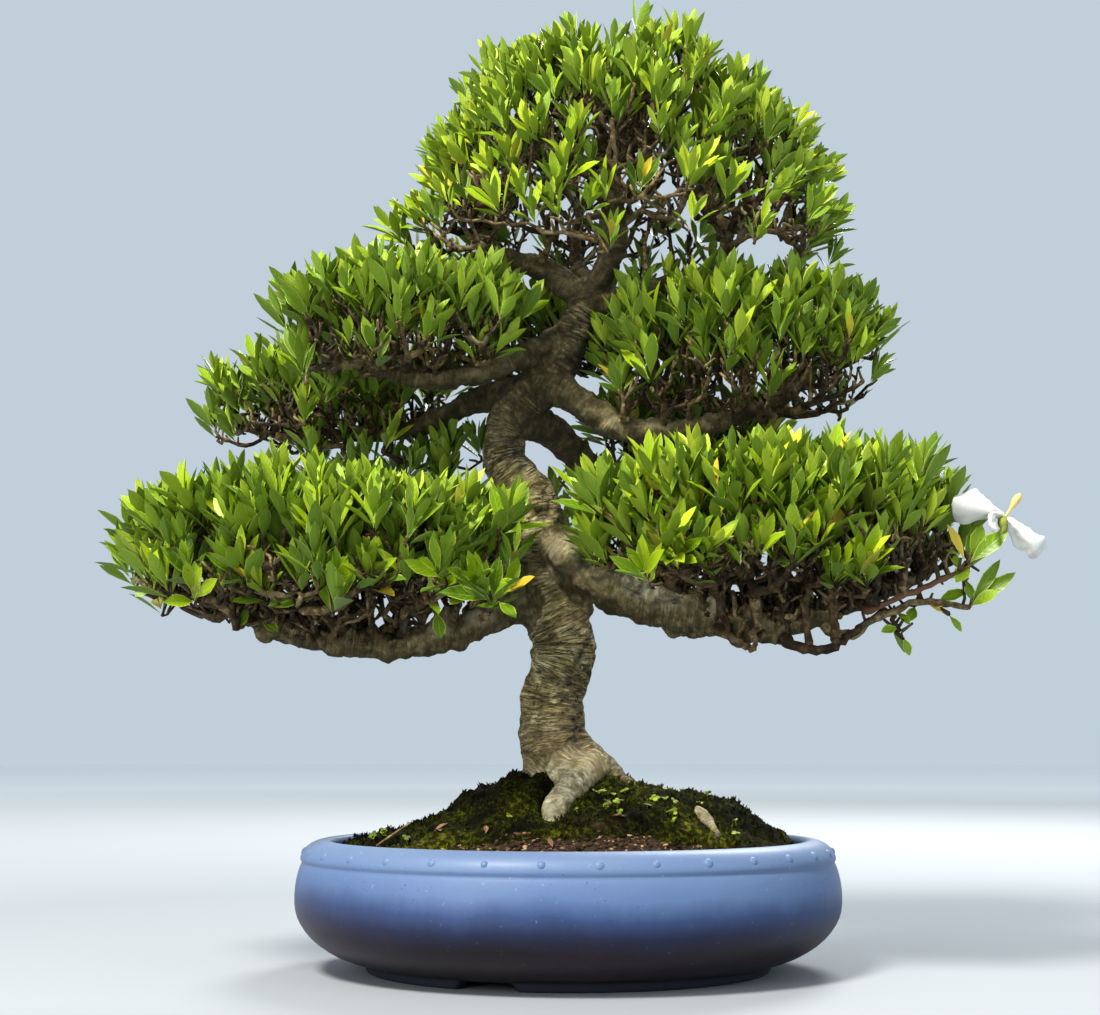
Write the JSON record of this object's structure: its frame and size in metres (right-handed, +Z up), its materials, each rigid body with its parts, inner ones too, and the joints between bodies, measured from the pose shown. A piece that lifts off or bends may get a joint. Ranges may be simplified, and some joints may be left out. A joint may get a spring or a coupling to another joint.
{
  "type": "gardenia bonsai",
  "caption": "Gardenia bonsai with layered leafy pads on a curving trunk, in an oval blue-glazed drum pot with a studded rim.",
  "frame": {"origin": "middle of the pot's foot, on the surface that the pot stands on", "axes": "+Z up; +X to the right and -Y towards the viewer, as the bonsai is seen from its front"},
  "size_m": [0.4701, 0.2378, 0.5151],
  "materials": {
    "blue_glaze": "satin",
    "screen_plastic": "matte",
    "bark": "matte",
    "soil": "matte",
    "moss": "matte",
    "leaf": "satin",
    "petal": "matte",
    "pistil": "matte"
  },
  "bodies": {
    "root": {"pot": "blue_glaze", "drain_screen_left": "screen_plastic", "drain_screen_right": "screen_plastic", "soil": "soil", "moss": "moss", "trunk": "bark", "foliage_low_left": "leaf", "foliage_low_right": "leaf", "foliage_mid_left": "leaf", "foliage_back_left": "leaf", "foliage_mid_right": "leaf", "foliage_back_low": "leaf", "foliage_back_high": "leaf", "foliage_crown": "leaf", "flower": "petal", "pistil": "pistil"}
  },
  "joints": []
}
